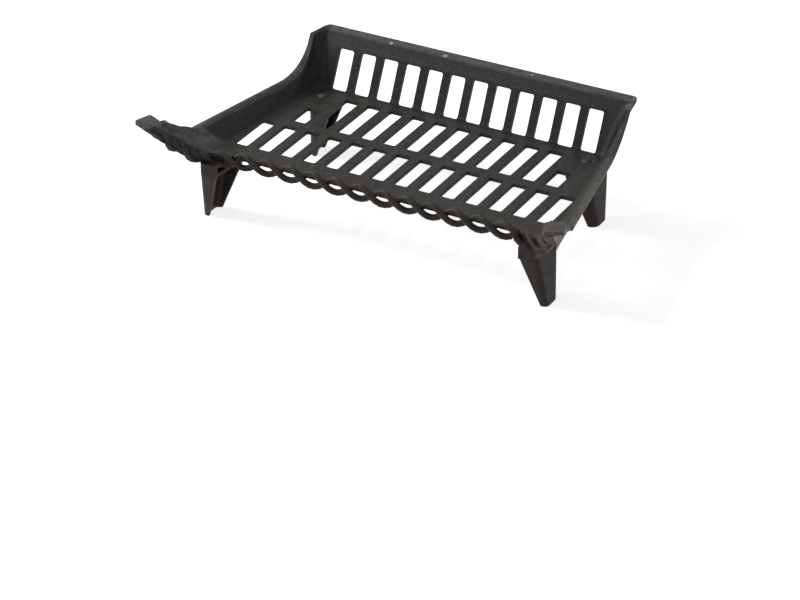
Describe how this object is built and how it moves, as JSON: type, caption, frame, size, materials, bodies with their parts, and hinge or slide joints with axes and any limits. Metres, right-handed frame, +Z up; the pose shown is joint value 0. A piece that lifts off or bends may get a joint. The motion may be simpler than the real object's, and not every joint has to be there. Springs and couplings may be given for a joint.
{
  "type": "log grate",
  "caption": "Dished cast-iron fireplace grate with a slotted floor, slotted leaning back, pierced rope border, horned front corners and short bolted trough-shaped legs.",
  "frame": {"origin": "on the ground under the middle of the whole object's box", "axes": "+Z up, -Y the front with the rope border and the horns, +Y the high back, +X to the right seen from above with the back at the top"},
  "size_m": [0.6684, 0.4122, 0.1726],
  "materials": {
    "basket_iron": "as-cast, matt, oiled grey-black",
    "leg_iron": "as-cast, matt, brown-black",
    "bolt_steel": "dark oxide"
  },
  "bodies": {
    "root": {"basket": "basket_iron", "leg_front_left": "leg_iron", "leg_front_right": "leg_iron", "leg_rear_left": "leg_iron", "leg_rear_right": "leg_iron", "bolt_front_left": "bolt_steel", "bolt_front_right": "bolt_steel", "bolt_rear_left": "bolt_steel", "bolt_rear_right": "bolt_steel", "washer_front_left": "bolt_steel", "washer_front_right": "bolt_steel", "washer_rear_left": "bolt_steel", "washer_rear_right": "bolt_steel", "nut_front_left": "bolt_steel", "nut_front_right": "bolt_steel", "nut_rear_left": "bolt_steel", "nut_rear_right": "bolt_steel"}
  },
  "joints": []
}
